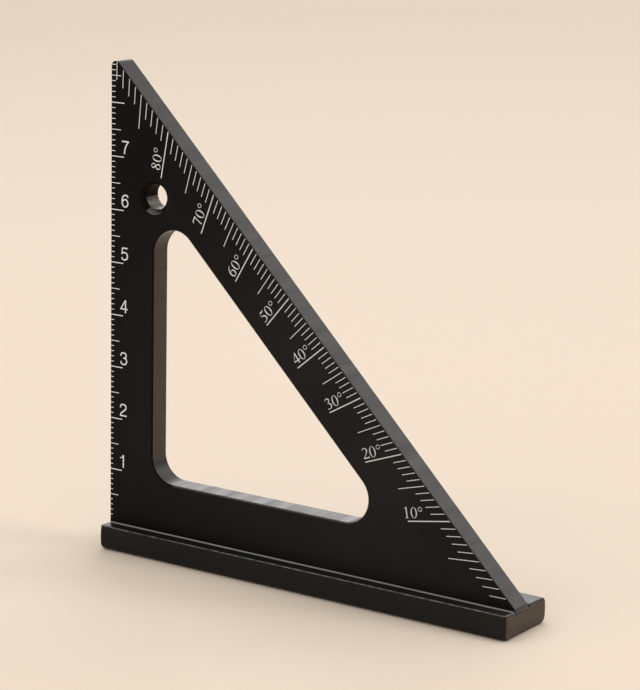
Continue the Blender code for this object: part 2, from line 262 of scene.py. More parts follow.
def outline(corners, inset, steps):
    """Points round a counter-clockwise outline whose broken edges are moved inwards by inset."""
    edges = []
    for here, after in zip(corners, corners[1:] + corners[:1]):
        along = Vector((after.u - here.u, after.v - here.v)).normalized()
        inward = Vector((-along.y, along.x))
        edges.append((Vector((here.u, here.v)) + inward * (inset if here.broken else 0.0), along))
    points = []
    for index, corner in enumerate(corners):
        (before_at, before), (after_at, after) = edges[index - 1], edges[index]
        turn = before.x * after.y - before.y * after.x
        gap = after_at - before_at
        meet = before_at + before * ((gap.x * after.y - gap.y * after.x) / turn)
        if not corner.radius:
            points.append(meet)
            continue
        side = math.copysign(1.0, turn)
        radius = max(corner.radius - inset * side, corner.radius / 4)
        half = math.acos(max(-1.0, min(1.0, before.dot(after)))) / 2
        centre = meet + (after - before).normalized() * (radius / math.cos(half))
        start = math.atan2(-before.x * side, before.y * side)
        for step in range(steps + 1):
            turned_by = start + 2 * half * side * step / steps
            points.append(centre + Vector((math.cos(turned_by), math.sin(turned_by))) * radius)
    return points


def clockwise_circle(u, v, radius, steps):
    turns = [-2 * math.pi * step / steps for step in range(steps)]
    return [Vector((u + radius * math.cos(turn), v + radius * math.sin(turn))) for turn in turns]


def rounded_end(roll, inset, steps):
    """Depth and inset of each ring where an end rounds over, from the end inwards."""
    turns = [math.pi / 2 * step / steps for step in range(steps, -1, -1)]
    return [(roll * (1 - math.sin(turn)), inset * (1 - math.cos(turn))) for turn in turns]


def rounded_ends(span, near, far):
    """The rings of a bar, end to end; near and far are its ends' own rings."""
    return near + [(span - depth, inset) for depth, inset in reversed(far)]


def blade_corners(blade, foot):
    return [Corner(0.0, foot, 0.0, False),
            Corner(LENGTH, foot, 0.0, True),
            Corner(LENGTH, blade.tip_flat, blade.tip_round, True),
            Corner(blade.top_flat, HEIGHT, blade.top_round, True),
            Corner(0.0, HEIGHT, blade.top_round, True)]


def leg(blade):
    """From the corner to where the slanted edge would meet either side."""
    return HEIGHT + blade.top_flat


def window_reach(blade):
    """Where the window's slanted wall would meet either side."""
    return leg(blade) - blade.window_border * SLANT


def window_corners(blade):
    reach = window_reach(blade)
    return [Corner(blade.window_side, blade.window_sill, blade.window_round, True),
            Corner(reach - blade.window_sill, blade.window_sill, blade.window_round, True),
            Corner(blade.window_side, reach - blade.window_side, blade.window_round, True)]


def hole_height(blade):
    window_top = window_reach(blade) - blade.window_side - blade.window_round * SLANT
    return window_top + blade.hole_web + blade.hole_radius + blade.hole_sink


def hole_rings(blade, mesh):
    """The hanging hole: countersunk at the marked face, with an edge break at the back."""
    rim = blade.hole_radius + blade.hole_sink
    soft = blade.edge_break / 4
    stations = [(0.0, rim + soft), (soft / 2, rim + soft / 4), (soft, rim - soft),
                (blade.hole_sink - soft, blade.hole_radius + soft),
                (blade.hole_sink + soft, blade.hole_radius)]
    for step in range(mesh.break_steps + 1):
        turn = math.pi / 2 * step / mesh.break_steps
        depth = THICKNESS - blade.edge_break * (1 - math.sin(turn))
        stations.append((depth, blade.hole_radius + blade.edge_break * (1 - math.cos(turn))))
    return [(depth, clockwise_circle(blade.hole_from_edge, hole_height(blade), radius, mesh.circle_steps))
            for depth, radius in stations]


def groove_points(fence, mesh):
    """The front relief groove's half-round section, from the lip beside the blade to the ledge."""
    middle = -fence.groove_lip - fence.groove_width / 2
    radius = math.hypot(fence.groove_width / 2, fence.groove_lift)
    start = -math.asin(fence.groove_lift / radius)
    sweep = math.pi + 2 * start
    turns = [start - sweep * step / mesh.arc_steps for step in range(mesh.arc_steps + 1)]
    return [Vector((middle + radius * math.cos(turn), fence.groove_lift + radius * math.sin(turn)))
            for turn in turns]


def fence_section(fence, inset, mesh):
    """The fence's section: outer corners, then the rear groove, the blade's slot and the front groove."""
    front, rear = FENCE_LOW.y - CORNER.y, FENCE_HIGH.y - CORNER.y
    under = FENCE_LOW.z - CORNER.z
    front_groove = groove_points(fence, mesh)
    rear_groove = [Vector((THICKNESS - p.x, p.y)) for p in reversed(front_groove)]
    rim = fence.rim_round
    outer = outline([Corner(front, under, fence.foot_round, True),
                     Corner(rear, under, fence.foot_round, True),
                     Corner(rear, 0.0, fence.rear_round, True),
                     Corner(front, 0.0, fence.front_round, True)], inset, mesh.arc_steps)
    split = 3 * (mesh.arc_steps + 1)
    drop = Vector((0.0, -inset * fence.ledge_reach / fence.end_reach))
    middle = under / 2
    for point in outer:
        if point.y > middle:
            point.y = middle + (point.y - middle) * (drop.y - middle) / (-inset - middle)

    def eased(edge, sign):
        """A small round where the ledge turns down into a groove."""
        return [edge + Vector((sign * rim * (1 - way), -rim * way * way / 2)) for way in (0, 0.5, 1)]

    inner = (eased(rear_groove[0], 1.0) + rear_groove[1:]
             + [Vector((THICKNESS, -fence.slot_depth)), Vector((0.0, -fence.slot_depth))]
             + front_groove[:-1] + list(reversed(eased(front_groove[-1], -1.0))))
    return outer[:split] + [p + drop for p in inner] + outer[split:]


# Closed bodies

def bar(ring_sets, place):
    """One closed body: the first set of rings is the outside, the others are holes.

    A set lists one outline's rings from the near end to the far end as (depth, points), and place
    turns a ring's (u, v) and depth into a point in space.
    """
    maker = bmesh.new()
    caps = ([], [])
    for rings in ring_sets:
        loops = [[maker.verts.new(place(p.x, p.y, depth)) for p in points] for depth, points in rings]
        for low, high in zip(loops, loops[1:]):
            for index in range(len(low)):
                maker.faces.new((low[index - 1], low[index], high[index], high[index - 1]))
        for edges, loop in zip(caps, (loops[0], loops[-1])):
            edges += [maker.edges.get((loop[i - 1], loop[i])) for i in range(len(loop))]
    for edges in caps:
        bmesh.ops.triangle_fill(maker, use_beauty=True, use_dissolve=False, edges=edges)
    bmesh.ops.recalc_face_normals(maker, faces=maker.faces)
    return maker


def circle_reach(turn):
    return 1.0


def hexagon_reach(turn):
    """Reach of a hexagon of inner radius 1 in a direction."""
    return 1.0 / math.cos(turn % (math.pi / 3) - math.pi / 6)


def turned(rings, steps, foot):
    """A closed body about an upright axis at a foot point, from (height, radius, reach) rings."""
    maker = bmesh.new()
    turns = [2 * math.pi * step / steps for step in range(steps)]
    loops = []
    for height, radius, reach in rings:
        loops.append([maker.verts.new(foot + Vector((radius * reach(t) * math.cos(t),
                                                     radius * reach(t) * math.sin(t), height)))
                      for t in turns])
    for low, high in zip(loops, loops[1:]):
        for index in range(steps):
            maker.faces.new((low[index - 1], low[index], high[index], high[index - 1]))
    maker.faces.new(list(reversed(loops[0])))
    maker.faces.new(loops[-1])
    bmesh.ops.recalc_face_normals(maker, faces=maker.faces)
    return maker


def fastener(node):
    """A fastener's radius, the heights of its two ends, and a point on its axis."""
    low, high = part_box(node)
    return (high.x - low.x) / 2, low.z, high.z, Vector(((low.x + high.x) / 2, (low.y + high.y) / 2, 0.0))


def drilled(piece, cutters):
    """Take closed bodies out of a piece and keep the result as its mesh."""
    for maker in cutters:
        mesh = bpy.data.meshes.new("drill")
        maker.to_mesh(mesh)
        maker.free()
        drill = bpy.data.objects.new("drill", mesh)
        bpy.context.collection.objects.link(drill)
        modifier = piece.modifiers.new("drill", "BOOLEAN")
        modifier.operation = "DIFFERENCE"
        modifier.solver = "EXACT"
        modifier.object = drill
        whole = piece.evaluated_get(bpy.context.evaluated_depsgraph_get())
        result = bpy.data.meshes.new_from_object(whole)
        piece.modifiers.clear()
        plain = piece.data
        piece.data = result
        bpy.data.meshes.remove(plain)
        bpy.data.objects.remove(drill, do_unlink=True)
        bpy.data.meshes.remove(mesh)
    piece.data.name = piece.name


def smooth(piece, degrees=35):
    """Round forms shade smoothly, and flat faces stay flat beside them."""
    piece.data.shade_smooth()
    piece.data.set_sharp_from_angle(angle=math.radians(degrees))
    modifier = piece.modifiers.new("flat faces", "WEIGHTED_NORMAL")
    modifier.keep_sharp = True
    modifier.weight = 80


def add_piece(name, maker, materials, node=None):
    """A named mesh that rides on the tool; node is the solid it stands for."""
    mesh = bpy.data.meshes.new(name)
    maker.to_mesh(mesh)
    maker.free()
    piece = bpy.data.objects.new(name, mesh)
    bpy.context.collection.objects.link(piece)
    for material in materials:
        mesh.materials.append(material)
    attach(piece, "root")
    if node:
        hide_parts(node)
    return piece


# Marks and lettering, drawn in the plane of the marked face

def oval(x, y, across, up, side, top):
    """A closed stroke round an ellipse, its width changing from its sides to its top and foot."""
    points = []
    for step in range(OVAL_STEPS):
        turn = 2 * math.pi * step / OVAL_STEPS
        width = top + (side - top) * math.cos(turn) ** 2
        points.append((x + across * math.cos(turn), y + up * math.sin(turn), width))
    return Stroke(points, True)


def pen(*points):
    """An open stroke through (x, y, width) points."""
    return Stroke(list(points), False)


# Strokes are in thousandths of the type size, from the left end of the letter's foot line.
SERIF_WIDTHS = {"°": 400}
SERIF = {
    "0": [oval(250, 331, 178, 325, 80, 24)],
    "1": [pen((258, 0, 74), (258, 676, 74)), pen((300, 668, 14), (215, 632, 29), (113, 590, 12)),
          pen((118, 9, 15), (394, 9, 15)), pen((258, 0, 129), (258, 40, 74))],
    "2": [pen((38, 520, 17), (75, 575, 38), (210, 648, 43), (370, 500, 79), (300, 330, 52),
              (180, 170, 34), (60, 40, 26)),
          pen((38, 38, 65), (400, 38, 65)), pen((400, 40, 64), (440, 60, 52), (466, 138, 14))],
    "3": [pen((50, 535, 15), (120, 630, 34), (220, 650, 43), (320, 600, 69), (335, 510, 72),
              (260, 390, 34), (170, 345, 17)),
          pen((165, 342, 17), (260, 338, 43), (360, 270, 77), (388, 180, 79), (330, 60, 60),
              (210, 12, 29), (120, 26, 43), (65, 44, 52))],
    "4": [pen((12, 198, 57), (472, 198, 57)), pen((331, 0, 72), (331, 676, 72)),
          pen((20, 215, 24), (318, 655, 24))],
    "5": [pen((180, 622, 71), (390, 626, 71), (430, 675, 21)), pen((182, 640, 17), (90, 410, 15)),
          pen((85, 420, 14), (200, 400, 52), (320, 330, 79), (382, 210, 79), (330, 80, 65),
              (200, 10, 29), (110, 20, 43), (55, 40, 52))],
    "6": [pen((448, 684, 12), (320, 640, 34), (190, 520, 60), (110, 380, 77), (82, 240, 79),
              (110, 110, 69), (190, 18, 43), (265, 6, 26), (360, 60, 64), (416, 190, 79),
              (380, 330, 65), (290, 398, 38), (200, 392, 26), (125, 340, 21))],
    "7": [pen((40, 625, 65), (449, 625, 65)), pen((20, 500, 12), (50, 590, 34)),
          pen((425, 640, 40), (330, 380, 52), (236, -8, 60))],
    "8": [oval(248, 515, 128, 143, 54, 24), oval(250, 165, 150, 158, 70, 24),
          pen((150, 470, 52), (250, 360, 65), (370, 250, 52))],
    "°": [oval(205, 536, 124, 124, 32, 32)],
}
SANS = {
    "1": [pen((298, 0, 77), (298, 716, 77)),
          pen((90, 545, 56), (168, 553, 56), (226, 598, 52), (272, 700, 44))],
    "2": [pen((72, 490, 73), (84, 590, 75), (154, 665, 73), (269, 674, 73), (384, 650, 73), (444, 570, 77),
              (444, 490, 77), (404, 400, 73), (304, 315, 73), (164, 215, 73), (92, 130, 73), (74, 42, 73)),
          pen((36, 42, 73), (504, 42, 73))],
    "3": [pen((80, 490, 73), (100, 600, 75), (170, 665, 73), (265, 674, 73), (370, 650, 73), (430, 580, 75),
              (425, 480, 75), (370, 405, 70), (240, 378, 66)),
          pen((240, 378, 66), (360, 372, 70), (450, 310, 75), (472, 200, 77), (430, 90, 75), (350, 35, 73),
              (265, 30, 73), (150, 45, 73), (90, 110, 73), (76, 200, 73))],
    "4": [pen((367, 0, 75), (367, 716, 75)), pen((13, 212, 66), (507, 212, 66)),
          pen((55, 225, 66), (345, 690, 66))],
    "5": [pen((130, 674, 73), (477, 674, 73)), pen((130, 690, 61), (88, 340, 61)),
          pen((88, 345, 52), (200, 425, 73), (270, 440, 73), (420, 380, 75), (470, 240, 77),
              (420, 90, 75), (270, 35, 73), (140, 60, 73), (85, 170, 73))],
    "6": [oval(285, 235, 187, 202, 76, 71),
          pen((470, 545, 73), (430, 640, 73), (300, 674, 73), (150, 600, 75), (85, 420, 77), (83, 280, 75))],
    "7": [pen((47, 674, 73), (512, 674, 73)),
          pen((462, 655, 73), (330, 450, 73), (250, 250, 75), (210, 0, 77))],
}
DIGIT_WIDTH = {"serif": 510, "sans": 556}
# How far each degree label starts past its mark's inner end, in millimetres, from 10 to 80 degrees.
LABEL_STARTS = (-0.81, -0.19, -0.19, 0.06, -0.07, 0.30, 1.00, 1.07)


def softened(points, closed, steps):
    """A smooth curve through points; two points stay a straight line."""
    if closed or len(points) < 3 or steps < 2:
        return [Vector(p) for p in points]
    path = [Vector(p) for p in points]
    ends = [2 * path[0] - path[1]] + path + [2 * path[-1] - path[-2]]
    result = []
    for a, b, c, d in zip(ends, ends[1:], ends[2:], ends[3:]):
        for step in range(steps):
            t = step / steps
            result.append(b + (c - a) * (t / 2) + (2 * a - 5 * b + 4 * c - d) * (t * t / 2)
                          + (3 * b - a - 3 * c + d) * (t ** 3 / 2))
    return result + [path[-1]]


def stroke_quads(stroke, steps):
    """The quads of a stroke, each between two cross lines."""
    path = softened(stroke.points, stroke.closed, steps)
    rails = []
    for index, point in enumerate(path):
        before = path[index - 1] if index or stroke.closed else point
        after = path[(index + 1) % len(path)] if index + 1 < len(path) or stroke.closed else point
        along = (after - before).to_2d().normalized()
        side = Vector((-along.y, along.x)) * (point.z / 2)
        rails.append((point.to_2d() - side, point.to_2d() + side))
    pairs = zip(rails, rails[1:] + (rails[:1] if stroke.closed else []))
    return [(a, c, d, b) for (a, b), (c, d) in pairs]


def flat_slab(quads, at, proud, sunk):
    """One closed thin body per group of touching quads, lying on the marked face.

    at turns a point of the drawing into (u, v).
    """
    points, triangles = [], []
    for quad in quads:
        for trio in ((quad[0], quad[1], quad[2]), (quad[0], quad[2], quad[3])):
            (a, b, c) = [at(p) for p in trio]
            area = (b - a).cross(c - a)
            if abs(area) < LEAST_AREA:
                continue
            triangles.append([len(points) + i for i in ((0, 1, 2) if area > 0 else (0, 2, 1))])
            points += [a, b, c]
    verts, _, faces, _, _, origins = delaunay_2d_cdt(points, [], triangles, 0, WELD, True)
    maker = bmesh.new()
    front = [maker.verts.new(spot(p.x, p.y, -proud)) for p in verts]
    back = [maker.verts.new(spot(p.x, p.y, sunk)) for p in verts]
    sides = {}
    for face, origin in zip(faces, origins):
        if not origin:
            continue
        maker.faces.new([front[i] for i in face])
        maker.faces.new([back[i] for i in reversed(face)])
        for i, j in zip(face, face[1:] + face[:1]):
            sides[(i, j)] = True
    for i, j in sides:
        if (j, i) not in sides:
            maker.faces.new((front[j], front[i], back[i], back[j]))
    bmesh.ops.delete(maker, geom=[v for v in maker.verts if not v.link_faces], context="VERTS")
    bmesh.ops.recalc_face_normals(maker, faces=maker.faces)
    return maker


def spot(u, v, depth):
    """A point in space from the tool's own corner."""
    return CORNER + Vector((u, depth, v))


def merged(makers):
    whole = bmesh.new()
    for maker in makers:
        mesh = bpy.data.meshes.new("passing")
        maker.to_mesh(mesh)
        maker.free()
        whole.from_mesh(mesh)
        bpy.data.meshes.remove(mesh)
    return whole


def word_slabs(text, font, widths, digit, size, start, along, scales, mesh):
    """Each letter of a word as its own closed slab, from the start of the word's foot line."""
    scale = size / 1000
    right, up = along * scale, Vector((-along.y, along.x)) * scale
    slabs, offset = [], 0.0
    for letter in text:
        foot = start + along * (offset * scale)
        quads = [quad for stroke in font[letter] for quad in stroke_quads(stroke, mesh.curve_steps)]
        slabs.append(flat_slab(quads, lambda p: foot + right * p.x + up * p.y, scales.proud, scales.sunk))
        offset += widths.get(letter, digit)
    return slabs


def mark_slab(start, end, width, scales):
    """One straight mark on the marked face."""
    along = (end - start).normalized()
    side = Vector((-along.y, along.x)) * (width / 2)
    quads = [(start - side, end - side, end + side, start + side)]
    return flat_slab(quads, lambda p: p, scales.proud, scales.sunk)


def edge_mark(height, reach, width, blade, scales, mesh):
    """A rule mark that starts on the rule edge's own break and runs in over the marked face."""
    outer, inner = [], []
    steps = 2 * mesh.break_steps
    for step in range(2, steps + 1):
        turn = math.pi / 2 * step / steps
        across, through = math.cos(turn), math.sin(turn)
        on_edge = Vector((blade.front_break * (1 - across), blade.front_roll * (1 - through)))
        outward = Vector((-blade.front_roll * across, -blade.front_break * through)).normalized()
        outer.append(on_edge + outward * scales.proud)
        inner.append(on_edge - outward * scales.sunk)
    outer.append(Vector((reach, -scales.proud)))
    inner.append(Vector((reach, scales.sunk)))
    for point in outer:
        point.x = max(point.x, 0.0)
    loop = outer + list(reversed(inner))
    maker = bmesh.new()
    low = [maker.verts.new(spot(p.x, height - width / 2, p.y)) for p in loop]
    high = [maker.verts.new(spot(p.x, height + width / 2, p.y)) for p in loop]
    count = len(outer)
    for index in range(len(loop)):
        maker.faces.new((low[index - 1], low[index], high[index], high[index - 1]))
    for index in range(count - 1):
        for ring in (low, high):
            maker.faces.new((ring[index], ring[index + 1], ring[-index - 2], ring[-index - 1]))
    bmesh.ops.recalc_face_normals(maker, faces=maker.faces)
    return maker


def by_tens(number, one, five, ten):
    return ten if number % 10 == 0 else five if number % 5 == 0 else one


def degree_ends(number, blade, scales):
    """Where a degree mark starts and ends, and the direction of its ray."""
    turn = math.radians(number)
    ray = Vector((math.cos(turn), math.sin(turn)))
    drift = scales.degree_drift_low + (scales.degree_drift - scales.degree_drift_low) * number / 90
    zero = Vector((0.0, scales.zero_height)) + Vector((-ray.y, ray.x)) * drift
    reach = (leg(blade) - zero.x - zero.y) / SLANT
    square = math.cos(turn - math.pi / 4)
    inner = by_tens(number, scales.degree_short, scales.degree_middle, scales.degree_long)
    return zero + ray * ((reach - inner) / square), zero + ray * ((reach - scales.degree_start) / square), ray


# Finishes

class Finish:
    """A material built from nodes around one Principled shader."""

    def __init__(self, name, seen_as):
        self.material = bpy.data.materials.new(name)
        self.material.use_nodes = True
        self.material.diffuse_color = (*seen_as, 1.0)
        self.tree = self.material.node_tree
        self.shader = self.tree.nodes["Principled BSDF"]
        self.place = self.node("ShaderNodeTexCoord").outputs["Object"]

    def node(self, kind, **values):
        node = self.tree.nodes.new(kind)
        for key, value in values.items():
            setattr(node, key, value)
        return node

    def link(self, source, target):
        self.tree.links.new(source, target)

    def set(self, **values):
        for key, value in values.items():
            self.shader.inputs[key.replace("_", " ")].default_value = value

    def noise(self, scale, detail=3.0, stretch=(1.0, 1.0, 1.0), rough=0.5):
        """Noise in the object's own metres, drawn out along an axis by a small stretch factor."""
        mapping = self.node("ShaderNodeMapping")
        mapping.inputs["Scale"].default_value = stretch
        self.link(self.place, mapping.inputs["Vector"])
        noise = self.node("ShaderNodeTexNoise")
        noise.inputs["Scale"].default_value = scale
        noise.inputs["Detail"].default_value = detail
        noise.inputs["Roughness"].default_value = rough
        self.link(mapping.outputs["Vector"], noise.inputs["Vector"])
        return noise.outputs["Fac"]

    def ranged(self, value, low, high, to_low, to_high):
        node = self.node("ShaderNodeMapRange")
        for name, number in (("From Min", low), ("From Max", high), ("To Min", to_low), ("To Max", to_high)):
            node.inputs[name].default_value = number
        self.link(value, node.inputs["Value"])
        return node.outputs["Result"]

    def mixed(self, amount, first, second):
        node = self.node("ShaderNodeMix", data_type="RGBA")
        node.inputs["A"].default_value = (*first, 1.0)
        node.inputs["B"].default_value = (*second, 1.0)
        self.link(amount, node.inputs["Factor"])
        return node.outputs["Result"]

    def bumps(self, *heights):
        """Stack (height, depth in metres, strength) bumps on the shader's normal."""
        normal = None
        for height, depth, strength in heights:
            node = self.node("ShaderNodeBump")
            node.inputs["Distance"].default_value = depth
            node.inputs["Strength"].default_value = strength
            self.link(height, node.inputs["Height"])
            if normal:
                self.link(normal, node.inputs["Normal"])
            normal = node.outputs["Normal"]
        self.link(normal, self.shader.inputs["Normal"])

    def coloured(self, amount, dark, pale):
        self.link(self.mixed(amount, dark, pale), self.shader.inputs["Base Color"])

    def roughness_from(self, socket):
        self.link(socket, self.shader.inputs["Roughness"])


def blasted_black(colours):
    """Black anodising on the blade's blasted faces: matt and cloudy, and palest about its middle, which is
    painted light.
    """
    finish = Finish("blasted_black", colours.black)
    finish.set(IOR=1.5, Specular_IOR_Level=0.09)
    cloud = finish.noise(45, 3.0)
    middle = finish.node("ShaderNodeVectorMath", operation="DISTANCE")
    finish.link(finish.place, middle.inputs[0])
    middle.inputs[1].default_value = spot(0.6 * LENGTH, 0.3 * HEIGHT, 0.0)
    # Painted light: the faces grow paler the nearer they lie to this point.
    painted_light = finish.ranged(middle.outputs["Value"], 0.15 * LENGTH, 0.7 * LENGTH, 1.0, 0.0)
    cloudy = finish.node("ShaderNodeMath", operation="MULTIPLY")
    finish.link(painted_light, cloudy.inputs[0])
    finish.link(finish.ranged(cloud, 0.3, 0.7, 0.45, 1.0), cloudy.inputs[1])
    finish.coloured(cloudy.outputs["Value"], colours.face, colours.face_pale)
    finish.roughness_from(finish.ranged(finish.noise(160, 4.0), 0.3, 0.7, 0.36, 0.48))
    finish.bumps((finish.noise(9000, 2.0), 0.000012, 0.35))
    return finish.material


def machined_black(colours, name, sheen, dark, pale):
    """Black anodising over cut edges: a finer sheen with faint cutter lines across the thickness."""
    finish = Finish(name, dark)
    finish.set(IOR=1.5, Specular_IOR_Level=sheen)
    lines = finish.noise(2600, 2.0, (1.0, 0.05, 1.0))
    finish.coloured(finish.ranged(lines, 0.3, 0.7, 0.0, 1.0), dark, pale)
    finish.roughness_from(finish.ranged(finish.noise(420, 3.0, (1.0, 0.1, 1.0)), 0.3, 0.7, 0.30, 0.44))
    finish.bumps((finish.noise(9000, 2.0), 0.000008, 0.3), (lines, 0.00001, 0.25))
    return finish.material


def hole_black(colours):
    """Painted shade on the hanging hole's upper half and on the break of the window's upright side: dark and
    without sheen.
    """
    finish = Finish("hole_black", colours.black_pale)
    grain = finish.noise(6000, 3.0)
    finish.set(IOR=1.5, Specular_IOR_Level=0.04)
    finish.coloured(grain, colours.black_pale, colours.end)
    finish.roughness_from(finish.ranged(grain, 0.3, 0.7, 0.45, 0.65))
    finish.bumps((grain, 0.00001, 0.3))
    return finish.material


def edge_black(colours):
    """The slanted edge, the window's lower wall and its lower rounds."""
    return machined_black(colours, "machined_black", 0.6, colours.black, colours.black_pale)


def end_black(colours):
    """The upright cut edges and the window's upper round, coloured a little brown."""
    return machined_black(colours, "end_black", 0.48, colours.end, colours.end_pale)


def drawn_black(colours, name, sheen, dark, pale):
    """Black anodising on the fence, with the fine lengthwise lines of a drawn bar."""
    finish = Finish(name, dark)
    finish.set(IOR=1.5, Specular_IOR_Level=sheen)
    lines = finish.noise(6000, 3.0, (0.012, 1.0, 1.0))
    cloud = finish.noise(55, 3.0, (0.5, 1.0, 1.0))
    finish.coloured(finish.ranged(cloud, 0.35, 0.7, 0.0, 1.0), dark, pale)
    finish.roughness_from(finish.ranged(lines, 0.25, 0.75, 0.30, 0.46))
    finish.bumps((finish.noise(8000, 2.0), 0.00001, 0.3), (lines, 0.00001, 0.3))
    return finish.material


def side_black(colours):
    return drawn_black(colours, "drawn_black", 0.2, colours.black, colours.black_pale)


def ledge_black(colours):
    """The ledges, a little paler than the sides."""
    return drawn_black(colours, "ledge_black", 0.38, colours.ledge, colours.ledge_pale)


def rubbed_edge(colours):
    """The front ledge's outer edge, where the black is rubbed thin in small beads and brightened as a painted
    highlight.
    """
    finish = Finish("rubbed_edge", colours.black_pale)
    finish.set(IOR=1.5, Specular_IOR_Level=0.6, Metallic=0.5)
    beads = finish.noise(900, 3.0, (1.0, 0.2, 0.2))
    finish.coloured(finish.ranged(beads, 0.35, 0.7, 0.0, 1.0), colours.rubbed_dark, colours.rubbed)
    finish.roughness_from(finish.ranged(beads, 0.3, 0.7, 0.42, 0.30))
    finish.bumps((finish.noise(7000, 2.0), 0.000008, 0.3))
    return finish.material


def bright_groove(colours):
    """Painted highlight: bright metal in the front relief groove and on the front ledge's right end."""
    return bright_cut("bright_groove", colours.groove_dark, colours.groove, (0.02, 1.0, 1.0))


def bright_bore(colours):
    """Painted reflection on the lower half of the hanging hole: bright metal where its wall faces up."""
    return bright_cut("bright_bore", colours.bore_dark, colours.bore, (0.15, 0.6, 0.15))


# Bright metal that carries the painted highlight in the groove and the painted reflection in the hanging
# hole.
def bright_cut(name, dark, pale, stretch):
    finish = Finish(name, pale)
    finish.set(IOR=1.5, Metallic=0.9)
    lines = finish.noise(5000, 3.0, stretch)
    finish.coloured(finish.ranged(lines, 0.3, 0.7, 0.0, 1.0), dark, pale)
    finish.roughness_from(finish.ranged(lines, 0.3, 0.7, 0.28, 0.42))
    finish.bumps((lines, 0.000006, 0.3))
    return finish.material


def laser_white(colours):
    """The pale, slightly grainy laser marks, whitest by the rule edge and duller towards the tip, where the
    dulling is painted shade.
    """
    finish = Finish("laser_white", colours.mark)
    finish.set(IOR=1.5, Specular_IOR_Level=0.3)
    grain = finish.noise(7000, 2.0)
    axes = finish.node("ShaderNodeSeparateXYZ")
    finish.link(finish.place, axes.inputs["Vector"])
    grain_and_shade = finish.node("ShaderNodeMath", operation="ADD", use_clamp=True)
    finish.link(finish.ranged(grain, 0.35, 0.62, 0.3, 0.0), grain_and_shade.inputs[0])
    # Painted shade: the marks grow duller from the rule edge towards the tip.
    shade_towards_tip = finish.ranged(axes.outputs["X"], CORNER.x, CORNER.x + 0.8 * LENGTH, 0.0, 1.0)
    finish.link(shade_towards_tip, grain_and_shade.inputs[1])
    finish.coloured(grain_and_shade.outputs["Value"], colours.mark, colours.mark_dull)
    finish.roughness_from(finish.ranged(grain, 0.3, 0.7, 0.55, 0.75))
    finish.bumps((grain, 0.00001, 0.4))
    return finish.material


def black_oxide(colours):
    """Black oxide on the steel screws, rubbed paler here and there."""
    finish = Finish("black_oxide", colours.oxide)
    finish.set(Metallic=0.85, IOR=1.5)
    wear = finish.noise(1400, 4.0)
    finish.coloured(finish.ranged(wear, 0.5, 0.75, 0.0, 1.0), colours.oxide, colours.oxide_pale)
    finish.roughness_from(finish.ranged(wear, 0.3, 0.7, 0.46, 0.30))
    finish.bumps((finish.noise(5000, 3.0), 0.00001, 0.3))
    return finish.material


def ground_steel(colours):
    """Centreless-ground steel with fine lines round the pin."""
    finish = Finish("ground_steel", colours.steel)
    finish.set(Metallic=1.0, IOR=1.5)
    lines = finish.noise(9000, 2.0, (0.03, 0.03, 1.0))
    finish.coloured(lines, colours.steel, colours.steel_pale)
    finish.roughness_from(finish.ranged(lines, 0.3, 0.7, 0.20, 0.34))
    finish.bumps((lines, 0.000006, 0.3))
    return finish.material


# Operators

class BuildBlade(bpy.types.Operator):
    """Build the blade with its window, its hanging hole and the sockets in its foot"""
    bl_idname = "layout_square.blade"
    bl_label = "Blade"

    def execute(self, context):
        scene = context.scene
        blade, fence, mesh = scene.square_blade, scene.square_fence, scene.square_mesh
        fasteners, colours = scene.square_fasteners, scene.square_finish
        front = rounded_end(blade.front_roll, blade.front_break, 2 * mesh.break_steps)
        window_front = rounded_end(blade.window_roll, blade.window_break, 2 * mesh.break_steps)
        back = rounded_end(blade.edge_break, blade.edge_break, mesh.break_steps)
        foot = blade.foot_gap - fence.slot_depth
        outside = [(depth, outline(blade_corners(blade, foot), inset, mesh.arc_steps))
                   for depth, inset in rounded_ends(THICKNESS, front, back)]
        window = [(depth, list(reversed(outline(window_corners(blade), -inset, mesh.arc_steps))))
                  for depth, inset in rounded_ends(THICKNESS, window_front, back)]
        body = bar([outside, window, hole_rings(blade, mesh)], spot)
        materials = [blasted_black(colours), edge_black(colours), end_black(colours), bright_bore(colours),
                     hole_black(colours)]
        piece = add_piece("blade_plate", body, materials, "blade")
        cutters = []
        for node in SCREWS + PINS:
            wide, _, top, middle = fastener(node)
            radius = (fasteners.shank_radius if node in SCREWS else wide) + fasteners.fit
            rings = [(CORNER.z + foot - fence.slot_depth, radius, circle_reach),
                     (top + fasteners.fit, radius, circle_reach),
                     (top + fasteners.fit + radius / 2, radius / 8, circle_reach)]
            cutters.append(turned(rings, TURN_STEPS, middle))
        drilled(piece, cutters)
        hole_rim = blade.hole_radius + blade.hole_sink + blade.edge_break / 2
        for face in piece.data.polygons:
            at = face.center - CORNER
            normal = face.normal
            if abs(normal.y) > FACE_ON:
                face.material_index = FACE
            elif math.hypot(at.x - blade.hole_from_edge, at.z - hole_height(blade)) < hole_rim:
                # Up-facing walls of the hole get the painted reflection, the rest gets the painted shade.
                in_countersink = normal.y < -0.3
                face.material_index = BORE_REFLECTION if normal.z > (0.6 if in_countersink else 0.12) else SHADE
            elif normal.x > 0.0 and at.y < blade.window_roll and self.in_window(at, blade):
                # The window's upright break gets painted shade, a dark line along its front edge.
                face.material_index = SHADE
            elif abs(normal.x) > BLADE_UPRIGHT or (normal.x > 0.0 and normal.z < 0.0):
                face.material_index = BLADE_END
            else:
                face.material_index = EDGE
        smooth(piece)
        return {"FINISHED"}

    def in_window(self, at, blade):
        """Whether a face belongs to the window's upright side, its breaks and its two rounds."""
        return at.z > blade.window_sill / 2 and 0.0 < at.x - blade.window_side / 2 < blade.window_side


